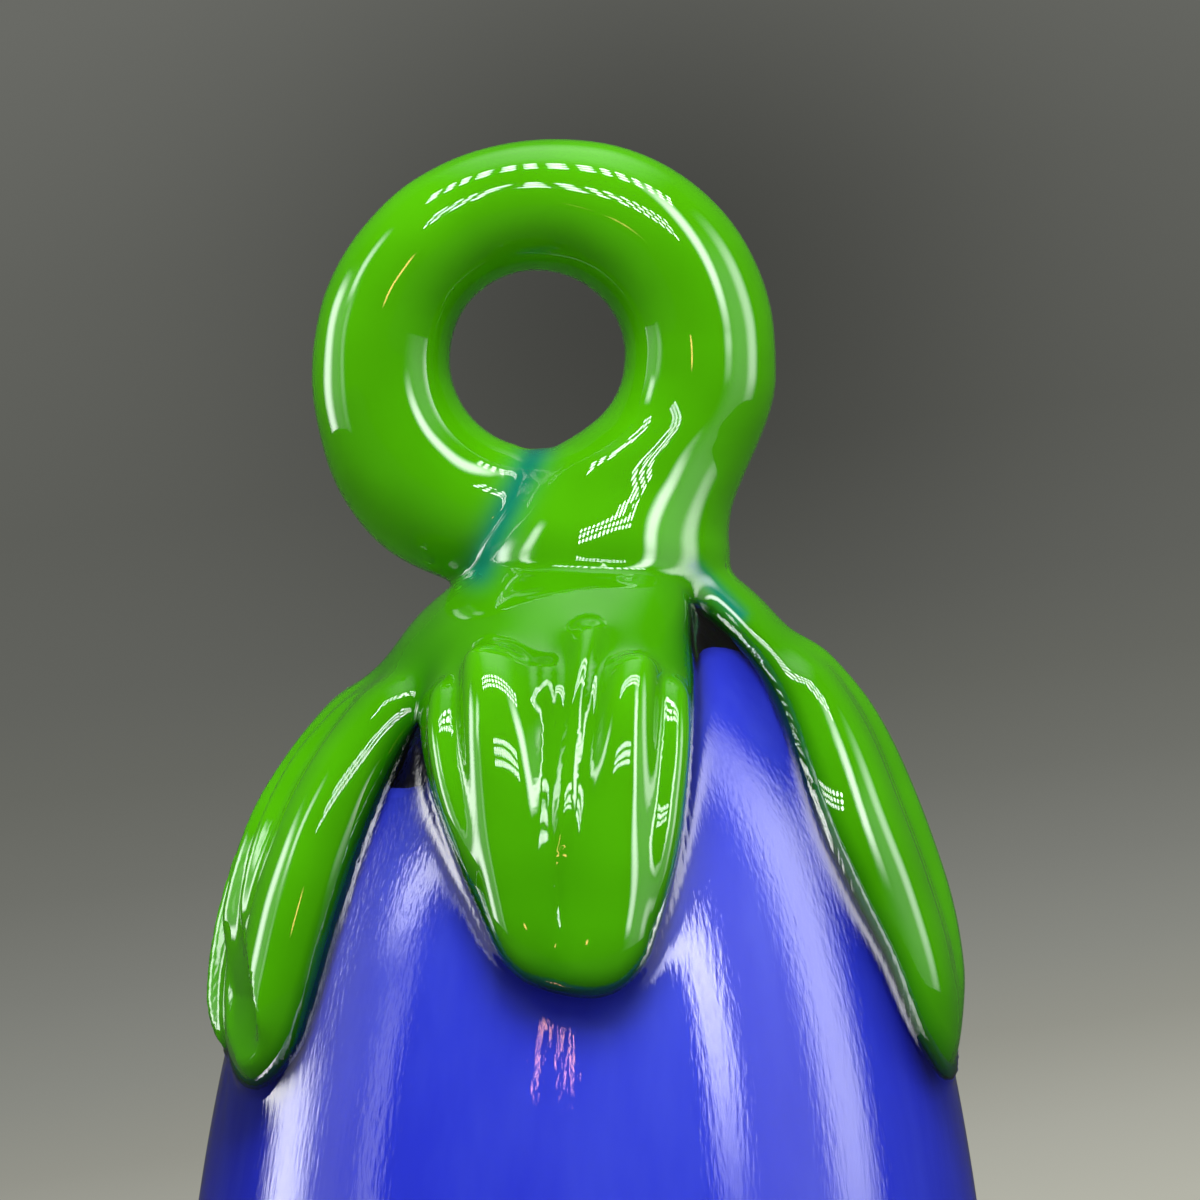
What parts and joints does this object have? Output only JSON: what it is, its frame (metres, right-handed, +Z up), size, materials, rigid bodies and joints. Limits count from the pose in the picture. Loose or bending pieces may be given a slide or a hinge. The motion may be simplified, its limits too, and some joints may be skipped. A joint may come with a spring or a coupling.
{
  "type": "glass eggplant ornament",
  "caption": "Hand-worked glass eggplant ornament: a hollow cobalt blue body under a green calyx of pressed leaves, with a thick stem curled into a hanging loop.",
  "frame": {"origin": "centre of the flat that the ornament stands on, on the body's axis", "axes": "+Z up along the body's axis to the hanging loop; -Y towards the front leaf; the loop's eye faces along Y"},
  "size_m": [0.0476, 0.0476, 0.1011],
  "materials": {
    "cobalt_casing_glass": "glossy transparent cobalt glass, fire-polished",
    "opaque_blue_glass": "glossy opaque blue glass",
    "green_glass": "glossy opaque green glass, fire-polished"
  },
  "bodies": {
    "root": {"body_casing": "cobalt_casing_glass", "body_core": "opaque_blue_glass", "crown_pad": "green_glass", "stem_loop": "green_glass", "sepal_front": "green_glass", "sepal_right": "green_glass", "sepal_back_right": "green_glass", "sepal_back_left": "green_glass", "sepal_left": "green_glass"}
  },
  "joints": []
}
